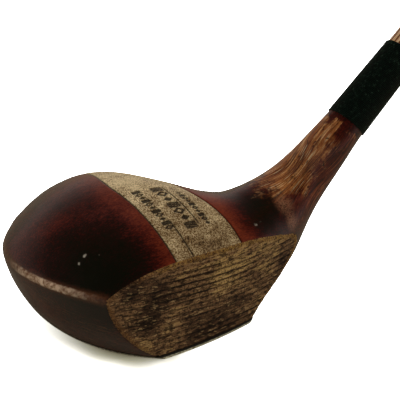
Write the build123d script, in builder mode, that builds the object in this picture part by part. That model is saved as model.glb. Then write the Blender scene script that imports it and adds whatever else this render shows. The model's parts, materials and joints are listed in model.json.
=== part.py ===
"""Golf driver of the hickory period: a wooden socket head on a long tapered wooden shaft.

+X runs from the toe to the heel, +Y from the face to the back and +Z up from the ground.
The club stands soled at address. The origin is the middle of the sole plate's flat underside.
Lengths are in millimetres and angles in degrees.
"""

from build123d import *
from math import cos, radians, sin, sqrt, tan
from scipy.interpolate import CubicSpline
import os

os.makedirs("parts", exist_ok=True)

# ---- Driving dimensions -------------------------------------------------------------------

# Club
lie_angle = 52.0  # shaft axis above the ground
club_length = 1080.0  # from the ground to the butt, along the shaft axis
axis_y = -6.8  # the shaft axis stands this far in front of the sole's middle

# Bend from the crown into the neck: the sections fan about a line through this point
bend_x = 27.3
bend_z = 86.0
neck_distance = 54.8  # shaft axis from the bend's centre
bend_travel = 42.7  # length given to the bend between its end sections

# Crown sections, upright across X: place, top height, radius, y of the middle
crown_sections = [
    (-56.4, 12.0, 48.0, 0.5),
    (-37.6, 32.9, 53.0, 0.8),
    (-18.8, 40.3, 66.0, 3.0),
    (0.0, 42.1, 64.4, 3.5),
]
# Bend sections: share of the bend, nearest and farthest distance from its centre,
# half width, y of the middle
bend_sections = [
    (0.0, 47.1, 95.1, 26.8, -6.9),
    (1 / 3, 48.4, 85.6, 18.2, -5.4),
    (2 / 3, 50.0, 73.8, 12.2, -3.8),
    (1.0, 45.6, 64.3, 9.3, axis_y),
]

# Skirt: plan outline at the ridge, from the front of the toe round to the back of the heel
skirt_points = [
    (-23.5, -36.7),
    (-41.4, -19.3),
    (-50.4, 4.7),
    (-45.4, 31.0),
    (-21.6, 42.5),
    (0.0, 39.3),
    (17.0, 33.8),
    (29.1, 22.6),
    (45.0, 16.5),
]
skirt_height = 27.3  # the wall draws in below this height
skirt_draw = 0.19  # share of the outline lost at the sole
skirt_middle_y = 4.7

# Face
face_y = -32.0  # leading edge, at the ground
face_x = -0.6  # foremost point of the bulge
face_loft = 10.6
face_bulge_radius = 233.0
face_heel_end = 62.0  # the cut stops here, before the neck
face_top_end = 43.0

# Whipping over the neck joint, measured along the shaft axis from the end of the bend
whip_start = 14.6
whip_end = 50.3
whip_thickness = 0.6
neck_radius_low = 7.9  # wood under the first turn
neck_radius_high = 6.95  # wood under the last turn
neck_shoulder = 0.1  # the neck steps down this far at the first turn
neck_mouth = 41.5  # end of the head's neck

# Shaft
tenon_bottom = -43.0
tenon_radius_bottom = 4.4
tenon_radius_mouth = 5.5
shaft_waist = 54.5  # slimmest place, just above the whipping
shaft_butt_radius = 8.0

# Sole plate
plate_thickness = 1.6
plate_toe_y = 3.0  # the rear edge leaves the toe here
plate_rear_y = 24.0
plate_heel_x = 38.0
plate_heel_y = -3.0

# Countersunk wood screws of the sole plate
screw_places = [(-29.0, -4.0), (-19.0, -22.5), (-12.0, 14.0), (13.0, 14.0), (9.5, -24.0), (29.0, -10.5)]
screw_slot_turns = [20, 75, 140, 5, 110, 50]
screw_head_radius = 2.9
screw_head_angle = 82.0
screw_shank_radius = 1.4
screw_length = 12.7
screw_clearance = 0.1
screw_slot_width = 0.8
screw_slot_depth = 0.7

# Lead slug under the plate, held by one screw
slug_x = -2.0
slug_y = -5.0
slug_radius = 9.0
slug_height = 9.0
slug_clearance = 0.3
slug_screw_head_radius = 3.6
slug_screw_head_height = 2.0
slug_screw_shank_radius = 1.7
slug_screw_length = 16.0

# Grip
grip_length = 268.0
underlay_thickness = 0.9
underlay_inset = 13.0
leather_thickness = 1.3
binding_thickness = 0.7
binding_length = 12.0
butt_disc_thickness = 1.6

# Tacks
tack_head_radius = 1.7
tack_head_height = 0.4
tack_shank_radius = 0.6
tack_length = 7.0
butt_tack_head_radius = 4.0
butt_tack_head_height = 1.4
butt_tack_length = 14.0

# ---- Datums -------------------------------------------------------------------------------

on_base = (Align.CENTER, Align.CENTER, Align.MIN)

lie_cos = cos(radians(lie_angle))
lie_sin = sin(radians(lie_angle))
shaft_direction = Vector(lie_cos, 0, lie_sin)
shaft_underside = Vector(lie_sin, 0, -lie_cos)
bend_end = Vector(
    bend_x + neck_distance * lie_sin, axis_y, bend_z - neck_distance * lie_cos
)
ground_along = -bend_end.Z / lie_sin  # the shaft axis meets the ground here
butt_along = ground_along + club_length
grip_start = butt_along - grip_length
wood_end = butt_along - butt_disc_thickness

shaft_axis = Axis(bend_end, shaft_direction)
shaft_side = Plane(bend_end, x_dir=shaft_underside, z_dir=(0, -1, 0))


def fan_plane(angle, along=0.0):
    """Section plane through the bend's centre line, moved along its own normal."""
    direction = Vector(cos(radians(angle)), 0, sin(radians(angle)))
    centre = Vector(bend_x, 0, bend_z)
    return Plane(centre + direction * along, x_dir=(0, 1, 0), z_dir=direction)


def wrap_radius(along):
    """Radius of the wood under the whipping, one straight taper over neck and shaft."""
    slope = (neck_radius_high - neck_radius_low) / (whip_end - whip_start)
    return neck_radius_low + slope * (along - whip_start)


def shaft_radius(along):
    """Radius of the shaft above its waist."""
    waist = wrap_radius(shaft_waist)
    share = (along - shaft_waist) / (grip_start - shaft_waist)
    return waist + (shaft_butt_radius - waist) * min(share, 1.0)


def turned(outline):
    """Solid of revolution about the shaft axis, from (radius, place along the axis) corners."""
    with BuildPart() as piece:
        with BuildSketch(shaft_side):
            with BuildLine():
                Polyline(*outline, close=True)
            make_face()
        revolve(axis=shaft_axis)
    return piece.part


# ---- Outer form of the head ---------------------------------------------------------------


def oval(plane, half_width, half_height, across, up):
    """Closed smooth oval on a section plane."""
    points = 16
    with BuildSketch(plane) as section:
        with BuildLine():
            turns = [radians(360 * i / points) for i in range(points)]
            Spline(*[(across + half_width * cos(t), up + half_height * sin(t)) for t in turns], periodic=True)
        make_face()
    return section.sketch


# Travel runs along the crown, round the bend and up the neck
stations = [place - bend_x for place, _, _, _ in crown_sections]
shapes = [
    (bend_z - top, bend_z - top + 2 * radius, radius, middle_y)
    for _, top, radius, middle_y in crown_sections
]
for share, *shape in bend_sections:
    stations.append(share * bend_travel)
    shapes.append(shape)
for along in (whip_start, neck_mouth):
    radius = wrap_radius(along) + neck_shoulder
    stations.append(bend_travel + along)
    shapes.append((neck_distance - radius, neck_distance + radius, radius, axis_y))

section_shape = CubicSpline(stations, shapes)

crown_ovals = []
section_count = 22
heel_section = 14  # the form is lofted in two lengths, which meet at this section
for i in range(section_count):
    travel = stations[0] + (stations[-2] - stations[0]) * i / (section_count - 1)
    near, far, half_width, middle_y = [float(value) for value in section_shape(travel)]
    angle = lie_angle * min(max(travel / bend_travel, 0), 1)
    along = min(travel, 0) + max(travel - bend_travel, 0)
    plane = fan_plane(angle, along)
    crown_ovals.append(oval(plane, half_width, (far - near) / 2, middle_y, -(near + far) / 2))

with BuildPart() as crown_form:
    loft(crown_ovals[: heel_section + 1])
    loft(crown_ovals[heel_section:])
    split(bisect_by=Plane.XY, keep=Keep.TOP)

with BuildPart() as skirt_form:
    for height in (-2.0, 9.0, 18.0, skirt_height):
        draw = 1 - skirt_draw * (1 - height / skirt_height) ** 2
        outline = [(x * draw, skirt_middle_y + (y - skirt_middle_y) * draw) for x, y in skirt_points]
        front_y = outline[0][1] - 12
        rear_y = outline[-1][1]
        with BuildSketch(Plane.XY.offset(height)):
            with BuildLine():
                Line((130, front_y), (20, front_y))
                Spline((20, front_y), *outline)
                Polyline(outline[-1], (130, rear_y), (130, front_y))
            make_face()
    loft()
    extrude(skirt_form.faces().sort_by(Axis.Z)[-1], amount=90)

face_plane = Plane(
    (face_x, face_y, 0), x_dir=(1, 0, 0), z_dir=(0, sin(radians(face_loft)), cos(radians(face_loft)))
)
with BuildPart() as face_cutter:
    with BuildSketch(face_plane.offset(-20)):
        toe_half = 90.0
        toe_sag = face_bulge_radius - sqrt(face_bulge_radius**2 - toe_half**2)
        heel_half = face_heel_end - face_x
        heel_sag = face_bulge_radius - sqrt(face_bulge_radius**2 - heel_half**2)
        with BuildLine():
            ThreePointArc((-toe_half, toe_sag), (0, 0), (heel_half, heel_sag))
            Polyline((heel_half, heel_sag), (heel_half, -60), (-toe_half, -60), (-toe_half, toe_sag))
        make_face()
    extrude(amount=20 + face_top_end)

with BuildPart() as head_form:
    add(crown_form.part)
    add(skirt_form.part, mode=Mode.INTERSECT)
    add(face_cutter.part, mode=Mode.SUBTRACT)

# ---- Sole plate ---------------------------------------------------------------------------

# The region runs out past the face and the toe, where the plate ends with the wood
with BuildSketch(Plane.XY) as plate_region:
    with BuildLine():
        ThreePointArc((-60, plate_toe_y), (-2, plate_rear_y), (plate_heel_x, plate_heel_y))
        ThreePointArc((plate_heel_x, plate_heel_y), (plate_heel_x + 1.5, -14), (plate_heel_x - 5, -40))
        Polyline((plate_heel_x - 5, -40), (-60, -40), (-60, plate_toe_y))
    make_face()

with BuildPart() as sole_plate:
    add(head_form.part)
    extrude(plate_region.sketch, amount=plate_thickness, mode=Mode.INTERSECT)
    with Locations(*[Location((x, y, 0), (180, 0, 0)) for x, y in screw_places]):
        CounterSinkHole(
            radius=screw_shank_radius + screw_clearance,
            counter_sink_radius=screw_head_radius,
            depth=plate_thickness,
            counter_sink_angle=screw_head_angle,
        )
sole_plate.part.label = "sole_plate"
export_step(sole_plate.part, "parts/sole_plate.step")

with BuildPart() as one_screw:
    head_depth = (screw_head_radius - screw_shank_radius) / tan(radians(screw_head_angle / 2))
    with BuildSketch(Plane.XZ):
        with BuildLine():
            Polyline(
                (0, 0),
                (screw_head_radius, 0),
                (screw_shank_radius, head_depth),
                (screw_shank_radius, screw_length - 3),
                (0, screw_length),
                close=True,
            )
        make_face()
    revolve(axis=Axis.Z)
screw_solid = one_screw.part

screw_slot_size = (4 * screw_head_radius, screw_slot_width, screw_slot_depth)

with BuildPart() as sole_screws:
    for (x, y), turn in zip(screw_places, screw_slot_turns):
        with Locations(Location((x, y, 0), (0, 0, turn))):
            add(screw_solid)
            Box(*screw_slot_size, align=on_base, mode=Mode.SUBTRACT)
sole_screws.part.label = "sole_screws"
export_step(sole_screws.part, "parts/sole_screws.step")

# ---- Lead slug ----------------------------------------------------------------------------

slug_seat = Plane((slug_x, slug_y, plate_thickness))

with BuildPart() as slug_screw:
    with Locations(slug_seat):
        Cylinder(slug_screw_head_radius, slug_screw_head_height, align=on_base)
        Cylinder(slug_screw_shank_radius, slug_screw_length, align=on_base)
    fillet(slug_screw.edges().group_by(Axis.Z)[0], 0.6)
    chamfer(slug_screw.edges().group_by(Axis.Z)[-1], 1.5, 1.2)
    with Locations(slug_seat):
        slot_size = (4 * slug_screw_head_radius, screw_slot_width, slug_screw_head_height / 2)
        Box(*slot_size, align=on_base, mode=Mode.SUBTRACT)
slug_screw.part.label = "slug_screw"
export_step(slug_screw.part, "parts/slug_screw.step")

with BuildPart() as lead_slug:
    with Locations(slug_seat):
        Cylinder(slug_radius, slug_height, align=on_base)
        Cylinder(
            slug_screw_head_radius + slug_clearance,
            slug_screw_head_height,
            align=on_base,
            mode=Mode.SUBTRACT,
        )
        Cylinder(
            slug_screw_shank_radius + slug_clearance / 2,
            slug_height,
            align=on_base,
            mode=Mode.SUBTRACT,
        )
lead_slug.part.label = "lead_slug"
export_step(lead_slug.part, "parts/lead_slug.step")

# ---- Head ---------------------------------------------------------------------------------

with BuildPart() as head_block:
    add(head_form.part)
    add(
        turned(
            [
                (0, whip_start),
                (wrap_radius(whip_start), whip_start),
                (wrap_radius(neck_mouth), neck_mouth),
                (0, neck_mouth),
            ]
        )
    )
    add(
        turned(
            [
                (0, tenon_bottom),
                (tenon_radius_bottom, tenon_bottom),
                (tenon_radius_mouth, neck_mouth),
                (tenon_radius_mouth, neck_mouth + 1),
                (0, neck_mouth + 1),
            ]
        ),
        mode=Mode.SUBTRACT,
    )
    extrude(plate_region.sketch, amount=plate_thickness, mode=Mode.SUBTRACT)
    with Locations(slug_seat):
        Cylinder(slug_radius, slug_height, align=on_base, mode=Mode.SUBTRACT)
        Cylinder(slug_screw_shank_radius, slug_screw_length, align=on_base, mode=Mode.SUBTRACT)
    with Locations(*[Location((x, y, 0)) for x, y in screw_places]):
        add(screw_solid, mode=Mode.SUBTRACT)
head_block.part.label = "head_block"
export_step(head_block.part, "parts/head_block.step")

# ---- Shaft --------------------------------------------------------------------------------

with BuildPart() as one_tack:
    with BuildSketch(Plane.XZ):
        with BuildLine():
            Polyline(
                (0, 0),
                (tack_head_radius, 0),
                (tack_head_radius, -tack_head_height),
                (tack_shank_radius, -tack_head_height),
                (tack_shank_radius, -tack_length + 1.5),
                (0, -tack_length),
                close=True,
            )
        make_face()
    revolve(axis=Axis.Z)
tack_solid = one_tack.part


def tack_plane(along, radius):
    """Seat of a tack on the grip's underside, facing out."""
    seat = bend_end + shaft_direction * along + shaft_underside * radius
    return Plane(seat, x_dir=(0, 1, 0), z_dir=shaft_underside)


leather_low_radius = shaft_butt_radius + leather_thickness
leather_radius = shaft_butt_radius + underlay_thickness + leather_thickness
low_tack_along = grip_start + binding_length / 4
high_tack_along = butt_along - binding_length
tack_planes = [
    tack_plane(low_tack_along, leather_low_radius - 0.35),
    tack_plane(high_tack_along, leather_radius - 0.35),
]

with BuildPart() as grip_tacks:
    with Locations(*tack_planes):
        add(tack_solid)
grip_tacks.part.label = "grip_tacks"
export_step(grip_tacks.part, "parts/grip_tacks.step")

with BuildPart() as butt_tack:
    shank = 1.5 * tack_shank_radius
    dome_radius = (butt_tack_head_radius**2 + butt_tack_head_height**2) / (2 * butt_tack_head_height)
    dome_top = bend_end + shaft_direction * (butt_along + butt_tack_head_height)
    with Locations(Plane(dome_top, z_dir=shaft_direction)):
        Sphere(dome_radius, align=(Align.CENTER, Align.CENTER, Align.MAX))
    butt_face = Plane(bend_end + shaft_direction * butt_along, z_dir=shaft_direction)
    split(bisect_by=butt_face, keep=Keep.TOP)
    add(
        turned(
            [
                (0, butt_along),
                (0, butt_along - butt_tack_length),
                (shank, butt_along - butt_tack_length + 2),
                (shank, butt_along),
            ]
        )
    )
butt_tack.part.label = "butt_tack"
export_step(butt_tack.part, "parts/butt_tack.step")

with BuildPart() as shaft:
    add(
        turned(
            [
                (0, tenon_bottom),
                (tenon_radius_bottom, tenon_bottom),
                (tenon_radius_mouth, neck_mouth),
                (wrap_radius(neck_mouth), neck_mouth),
                (wrap_radius(shaft_waist), shaft_waist),
                (shaft_butt_radius, grip_start),
                (shaft_butt_radius, wood_end),
                (0, wood_end),
            ]
        )
    )
    add(butt_tack.part, mode=Mode.SUBTRACT)
    add(grip_tacks.part, mode=Mode.SUBTRACT)
shaft.part.label = "shaft"
export_step(shaft.part, "parts/shaft.step")

# ---- Whipping over the neck joint ---------------------------------------------------------

with BuildPart() as neck_whipping:
    add(
        turned(
            [
                (wrap_radius(whip_start), whip_start),
                (wrap_radius(whip_start) + whip_thickness, whip_start),
                (wrap_radius(whip_end) + whip_thickness, whip_end),
                (wrap_radius(whip_end), whip_end),
            ]
        )
    )
neck_whipping.part.label = "neck_whipping"
export_step(neck_whipping.part, "parts/neck_whipping.step")

# ---- Grip ---------------------------------------------------------------------------------

underlay_start = grip_start + underlay_inset
underlay_radius = shaft_butt_radius + underlay_thickness

with BuildPart() as grip_underlay:
    add(
        turned(
            [
                (shaft_butt_radius, underlay_start),
                (underlay_radius, underlay_start),
                (underlay_radius, wood_end),
                (shaft_butt_radius, wood_end),
            ]
        )
    )
    add(grip_tacks.part, mode=Mode.SUBTRACT)
grip_underlay.part.label = "grip_underlay"
export_step(grip_underlay.part, "parts/grip_underlay.step")

with BuildPart() as grip_leather:
    add(
        turned(
            [
                (shaft_butt_radius, grip_start),
                (shaft_butt_radius, underlay_start),
                (underlay_radius, underlay_start),
                (underlay_radius, wood_end),
                (leather_radius, wood_end),
                (leather_radius, underlay_start + 4),
                (leather_low_radius, grip_start + 8),
                (leather_low_radius, grip_start),
            ]
        )
    )
    add(grip_tacks.part, mode=Mode.SUBTRACT)
grip_leather.part.label = "grip_leather"
export_step(grip_leather.part, "parts/grip_leather.step")

with BuildPart() as butt_disc:
    add(
        turned(
            [
                (0, wood_end),
                (leather_radius, wood_end),
                (leather_radius, butt_along),
                (0, butt_along),
            ]
        )
    )
    add(butt_tack.part, mode=Mode.SUBTRACT)
butt_disc.part.label = "butt_disc"
export_step(butt_disc.part, "parts/butt_disc.step")

with BuildPart() as grip_low_binding:
    low_end = grip_start - binding_length / 2
    high_end = grip_start + binding_length / 2
    add(
        turned(
            [
                (shaft_radius(low_end), low_end),
                (shaft_butt_radius, grip_start),
                (leather_low_radius, grip_start),
                (leather_low_radius, high_end),
                (leather_low_radius + binding_thickness, high_end),
                (leather_low_radius + binding_thickness, grip_start),
                (shaft_radius(low_end) + binding_thickness, low_end),
            ]
        )
    )
grip_low_binding.part.label = "grip_low_binding"
export_step(grip_low_binding.part, "parts/grip_low_binding.step")

with BuildPart() as grip_high_binding:
    low_end = high_tack_along - binding_length / 3
    high_end = high_tack_along + binding_length / 3
    add(
        turned(
            [
                (leather_radius, low_end),
                (leather_radius + binding_thickness, low_end),
                (leather_radius + binding_thickness, high_end),
                (leather_radius, high_end),
            ]
        )
    )
grip_high_binding.part.label = "grip_high_binding"
export_step(grip_high_binding.part, "parts/grip_high_binding.step")
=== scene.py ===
"""Looks of an old wooden golf driver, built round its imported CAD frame.

The frame's unit is the metre, with the sole on z = 0, the toe towards -X and the
face towards -Y. Small lengths are written in millimetres and multiplied by MM.
"""
import json
import math

import bmesh
import bpy
import numpy as np
from mathutils import Matrix, Vector, noise
from mathutils.bvhtree import BVHTree
from mathutils.kdtree import KDTree


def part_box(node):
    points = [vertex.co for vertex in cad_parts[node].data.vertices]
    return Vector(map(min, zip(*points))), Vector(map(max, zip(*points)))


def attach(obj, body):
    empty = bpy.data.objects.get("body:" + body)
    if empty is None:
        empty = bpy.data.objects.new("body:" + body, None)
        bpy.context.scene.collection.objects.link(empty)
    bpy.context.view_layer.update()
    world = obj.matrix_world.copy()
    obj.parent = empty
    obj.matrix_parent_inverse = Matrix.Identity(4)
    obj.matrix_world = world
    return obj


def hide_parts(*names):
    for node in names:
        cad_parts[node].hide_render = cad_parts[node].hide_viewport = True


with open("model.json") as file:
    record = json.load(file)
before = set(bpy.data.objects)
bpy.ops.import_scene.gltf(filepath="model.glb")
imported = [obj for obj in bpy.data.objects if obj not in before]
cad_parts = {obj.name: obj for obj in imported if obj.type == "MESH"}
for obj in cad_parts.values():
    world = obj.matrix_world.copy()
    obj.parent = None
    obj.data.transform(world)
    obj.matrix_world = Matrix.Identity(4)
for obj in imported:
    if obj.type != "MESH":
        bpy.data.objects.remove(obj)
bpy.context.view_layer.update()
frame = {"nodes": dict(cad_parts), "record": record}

MM = 0.001
SLIVER = 0.002 * MM        # edges shorter than this are closed up
SEED_SHIFT = 17.3          # moves each noise field away from the others

THREAD = 0.6 * MM          # thickness of the thread in the bindings
THREAD_BITE = 0.4 * MM     # how far each turn sinks into what it binds
THREAD_WANDER = 0.05 * MM  # how unevenly the thread is wound
THREAD_SIDES = 8           # corners of the thread's outline
THREAD_STEPS = 56          # mesh steps in one turn
GRIP_PITCH = 24 * MM       # the leather strip's advance in one turn
GRIP_LAP = 4 * MM          # how far a turn lies over the turn below
GRIP_STEPS = 72            # mesh steps in one turn
LEATHER = 1.3 * MM         # thickness of the leather

# where the ridge between crown and skirt is looked for, millimetres and degrees
RIDGE_LOW, RIDGE_REACH, RIDGE_HEEL, RIDGE_ANGLE = 12, 25, 30, 18

# smoothing of the head's mesh
RELAX = 0.5                # share of the way to the neighbours' middle in one round
REGROW = -1.04             # each even round undoes the shrinking of the one before
EVEN_ROUNDS, RIDGE_ROUNDS, BEND_ROUNDS = 8, 5, 30

# head carving, millimetres
HEAD_CELL = 1.0            # size of the head mesh's cells before refining
REFINE_CUTS = 3            # cuts per cell edge where something is carved
SCORE_PITCH = 2.15         # face lines, one above the other
SCORE_LOW, SCORE_HIGH = 4.2, 30.5
SCORE_WIDTH, SCORE_DEPTH = 0.27, 0.26
SCORE_TOE_MARGIN = 3.3     # where the lines stop, measured from the face's edge
STRIPE_LEFT, STRIPE_RIGHT = -12.7, 16.6
STRIPE_LOW = 27.5          # the stripe's ends stop at this height
CROWN_LOW = 27.0           # lines and marks are cut in the crown above this height
BORDER_WIDTH, BORDER_DEPTH = 0.24, 0.22
STAMP_LOW, STAMP_DEPTH = 30, 0.22
KNOCK_LOW = 24             # knocks are cut only above this height
ON_FACE = 0.45             # points nearer than this to the CAD face count as on it
FACE_MARGIN, LINE_MARGIN, STAMP_MARGIN = 1.3, 0.95, 0.9    # refined round each of them
RIM_MARGIN = 0.8           # the crown's refined cells stop this far from the face
POCKET_OPENING = 0.5       # how far the sole plate's pocket runs out past its edge
UNROLL_RADIUS = 9.0        # how wide the neck counts when its grain is unrolled
BEND_X = 43.6              # where the head turns up into the neck
FAR = 99.0                 # further away than anything on the head


# ---------------------------------------------------------------- club axis

def node_points(name):
    """The corner points of a CAD node, one row each."""
    mesh = frame["nodes"][name].data
    flat = np.empty(len(mesh.vertices) * 3)
    mesh.vertices.foreach_get("co", flat)
    return flat.reshape(-1, 3)


hold = next(m for m in frame["record"]["mounts"] if m["name"] == "grip_hold")
AXIS = np.array(hold["axis"]) / np.linalg.norm(hold["axis"])
AXIS_POINT = np.array(hold["pos_m"])
ACROSS = np.array((0.0, 1.0, 0.0))
UPWARD = np.cross(AXIS, ACROSS)
SHAFT_TILT = math.atan2(AXIS[0], AXIS[2])


def along_axis(points):
    """Distance of each point along the shaft's axis, and its distance from the axis."""
    offset = points - AXIS_POINT
    along = offset @ AXIS
    return along, np.linalg.norm(offset - along[:, None] * AXIS, axis=1)


def span(name):
    """Where a node starts and ends along the shaft's axis."""
    along, _ = along_axis(node_points(name))
    return along.min(), along.max()


def outer_radius(name):
    """The outside radius of a round node, as a function of the distance along the axis.

    Stations with points on the node's bore only are left out.
    """
    along, radius = along_axis(node_points(name))
    stations = np.unique(np.round(along, 5))
    same_station = 0.02 * MM
    widest = [radius[np.abs(along - s) < same_station].max() for s in stations]
    kept = [i for i, w in enumerate(widest) if w > 0.85 * max(widest)]
    return lambda at: np.interp(at, stations[kept], np.array(widest)[kept])


# ---------------------------------------------------------------- mesh tools

def noise_field(points, cell_mm, seed, stretch=(1, 1, 1)):
    """Smooth noise in -1..1 at each point; cell_mm is the size of its blobs."""
    scaled = points / (cell_mm * MM) * np.array(stretch) + seed * SEED_SHIFT
    return np.array([noise.noise(Vector(p)) for p in scaled])


def smooth_step(value, low, high):
    share = np.clip((value - low) / (high - low), 0.0, 1.0)
    return share * share * (3 - 2 * share)


def new_piece(name, points, faces):
    """A smooth-shaded mesh object of the club."""
    mesh = bpy.data.meshes.new(name)
    mesh.from_pydata([tuple(p) for p in points], [], faces)
    mesh.validate()
    mesh.shade_smooth()
    piece = bpy.data.objects.new(name, mesh)
    bpy.context.scene.collection.objects.link(piece)
    return piece


def as_bmesh(name):
    """A CAD node's surface with its seams closed."""
    bm = bmesh.new()
    bm.from_mesh(frame["nodes"][name].data)
    bmesh.ops.remove_doubles(bm, verts=bm.verts, dist=SLIVER)
    return bm


def mesh_arrays(mesh):
    points = np.empty(len(mesh.vertices) * 3)
    mesh.vertices.foreach_get("co", points)
    normals = np.empty(len(mesh.vertices) * 3)
    mesh.vertices.foreach_get("normal", normals)
    return points.reshape(-1, 3), normals.reshape(-1, 3)


def set_points(mesh, points):
    mesh.vertices.foreach_set("co", points.astype(np.float32).ravel())
    mesh.update()


def set_field(mesh, name, values):
    """Stores one number per corner point for the material to read."""
    field = mesh.attributes.new(name, "FLOAT", "POINT")
    field.data.foreach_set("value", values.astype(np.float32))


def relax(mesh, shares):
    """Moves each point towards the middle of its neighbours, once for each row of shares."""
    points, _ = mesh_arrays(mesh)
    ends = np.empty(len(mesh.edges) * 2, int)
    mesh.edges.foreach_get("vertices", ends)
    first, second = ends[0::2], ends[1::2]
    count = np.bincount(ends, minlength=len(points))
    for share in shares:
        middle = np.empty_like(points)
        for axis in range(3):
            total = np.bincount(first, points[second, axis], len(points))
            total += np.bincount(second, points[first, axis], len(points))
            middle[:, axis] = total / count
        points += share[:, None] * (middle - points)
    set_points(mesh, points)


# ---------------------------------------------------------------- landmarks of the head

def face_island():
    """The triangles of the CAD head's striking face, seen first from -Y, and points on its rim."""
    mesh = frame["nodes"]["head_block"].data
    bm = bmesh.new()
    bm.from_mesh(mesh)
    bm.faces.ensure_lookup_table()
    low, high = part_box("head_block")
    start = Vector((0, low.y - 0.05, high.z * 0.2))
    tree = BVHTree.FromBMesh(bm)
    first = tree.ray_cast(start, Vector((0, 1, 0)))[2]
    island, waiting = {first}, [bm.faces[first]]
    while waiting:
        for edge in waiting.pop().edges:
            for face in edge.link_faces:
                if face.index not in island:
                    island.add(face.index)
                    waiting.append(face)
    corners = [[tuple(v.co) for v in bm.faces[i].verts] for i in island]
    rim = [e for e in bm.edges if len(e.link_faces) == 1 and e.link_faces[0].index in island]
    rim_points = [p for e in rim for p in edge_samples(e)]
    bm.free()
    return corners, rim_points


def edge_samples(edge):
    """Points half a millimetre apart along an edge."""
    a, b = (v.co.copy() for v in edge.verts)
    count = max(1, round((b - a).length / (0.5 * MM)))
    return [a.lerp(b, i / count) for i in range(count + 1)]


def ridge_points(face_tree):
    """Points along the crease between crown and skirt, round the toe and the back."""
    bm = as_bmesh("head_block")
    found = []
    for edge in bm.edges:
        middle = (edge.verts[0].co + edge.verts[1].co) / 2
        reach = Vector((middle.x, middle.y)).length
        outside = middle.z > RIDGE_LOW * MM and reach > RIDGE_REACH * MM
        off_face = face_tree.find(middle)[2] > 1 * MM
        if len(edge.link_faces) == 2 and outside and off_face and middle.x < RIDGE_HEEL * MM:
            if edge.calc_face_angle() > math.radians(RIDGE_ANGLE):
                found += edge_samples(edge)
    bm.free()
    return found


def point_tree(points):
    tree = KDTree(len(points))
    for i, p in enumerate(points):
        tree.insert(p, i)
    tree.balance()
    return tree


def distances(tree, points):
    """Millimetres from each point to the nearest one in the tree."""
    return np.array([tree.find(p)[2] for p in points]) / MM


face_corners, face_rim = face_island()
FACE_RIM = point_tree(face_rim)
RIDGE = point_tree(ridge_points(FACE_RIM))
FACE_SURFACE = BVHTree.FromPolygons(
    [p for tri in face_corners for p in tri],
    [(3 * i, 3 * i + 1, 3 * i + 2) for i in range(len(face_corners))],
)


def face_depth(points):
    """Signed millimetres from the face's edge: positive on the face."""
    to_edge = distances(FACE_RIM, points)
    off = np.array([FACE_SURFACE.find_nearest(Vector(p))[3] for p in points]) / MM
    return np.where(off < ON_FACE, to_edge, -to_edge)


def stripe_sides(points):
    """Signed millimetres from the stripe's toe side and from its heel side, positive inwards."""
    x, y, _ = (points / MM).T
    left = STRIPE_LEFT + 5.0 * smooth_step(y, 12, 42)
    right = STRIPE_RIGHT - 4.6 * smooth_step(y, -20, 18)
    return x - left, right - x


def stripe_depth(points):
    """Signed millimetres from the stripe's borders: positive inside the stripe."""
    left, right = stripe_sides(points)
    return np.minimum.reduce([left, right, points[:, 2] / MM - STRIPE_LOW])


# ---------------------------------------------------------------- head shape

def plain_head():
    """The head with every socket but the shaft's filled, as an even mesh of small cells."""
    bm = bmesh.new()
    for name in ("head_block", "sole_plate", "sole_screws", "slug_screw", "lead_slug"):
        part = as_bmesh(name)
        copy = bpy.data.meshes.new("part")
        part.to_mesh(copy)
        bm.from_mesh(copy)
        bpy.data.meshes.remove(copy)
        part.free()
    mesh = bpy.data.meshes.new("head")
    bm.to_mesh(mesh)
    bm.free()
    piece = bpy.data.objects.new("head", mesh)
    bpy.context.scene.collection.objects.link(piece)
    remesh = piece.modifiers.new("even", "REMESH")
    remesh.mode = "VOXEL"
    remesh.voxel_size = HEAD_CELL * MM
    apply_modifiers(piece)
    return piece


def apply_modifiers(piece):
    evaluated = piece.evaluated_get(bpy.context.evaluated_depsgraph_get())
    made = bpy.data.meshes.new_from_object(evaluated)
    piece.modifiers.clear()
    piece.data = made


def smooth_head(mesh):
    """Takes out the mesh's steps, rounds the worn ridge, and leaves the sole and face crisp."""
    points, _ = mesh_arrays(mesh)
    sole = smooth_step(points[:, 2] / MM, 1.5, 4.0)
    rim = smooth_step(distances(FACE_RIM, points), 0.3, 2.0)
    ridge = 1 - smooth_step(distances(RIDGE, points), 2.0, 5.0)
    bend = np.exp(-((points[:, 0] / MM - BEND_X) / 7) ** 2)
    gentle = RELAX * sole * (0.25 + 0.75 * rim)
    rounds = [gentle, REGROW * gentle] * EVEN_ROUNDS
    rounds += [RELAX * ridge * sole * rim] * RIDGE_ROUNDS
    rounds += [RELAX * bend * sole * rim] * BEND_ROUNDS
    relax(mesh, rounds)


def refine_carved(mesh):
    """Splits the cells where lines and marks are cut."""
    bm = bmesh.new()
    bm.from_mesh(mesh)
    bm.faces.ensure_lookup_table()
    centres = np.array([f.calc_center_median() for f in bm.faces])
    on_crown = centres[:, 2] > (CROWN_LOW - 1) * MM
    on_crown &= distances(FACE_RIM, centres) > RIM_MARGIN
    border = np.minimum.reduce([np.abs(d) for d in border_lines(centres)])
    wanted = face_depth(centres) > -FACE_MARGIN
    wanted |= on_crown & (border < LINE_MARGIN)
    wanted |= on_crown & stamp_boxes(centres, STAMP_MARGIN)
    edges = {e for i in np.flatnonzero(wanted) for e in bm.faces[i].edges}
    bmesh.ops.subdivide_edges(
        bm, edges=sorted(edges, key=lambda e: e.index), cuts=REFINE_CUTS, use_grid_fill=True
    )
    bm.to_mesh(mesh)
    bm.free()


def border_lines(points):
    """Signed distances, in millimetres, from the lines ruled along the stripe."""
    left, right = stripe_sides(points)
    x, y, _ = (points / MM).T
    beside_face = np.where(y < -10, left - 7.0, FAR)
    under_marks = np.where((y > -14) & (y < 8), x - 4.2, FAR)
    return left, right, beside_face, under_marks


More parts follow.
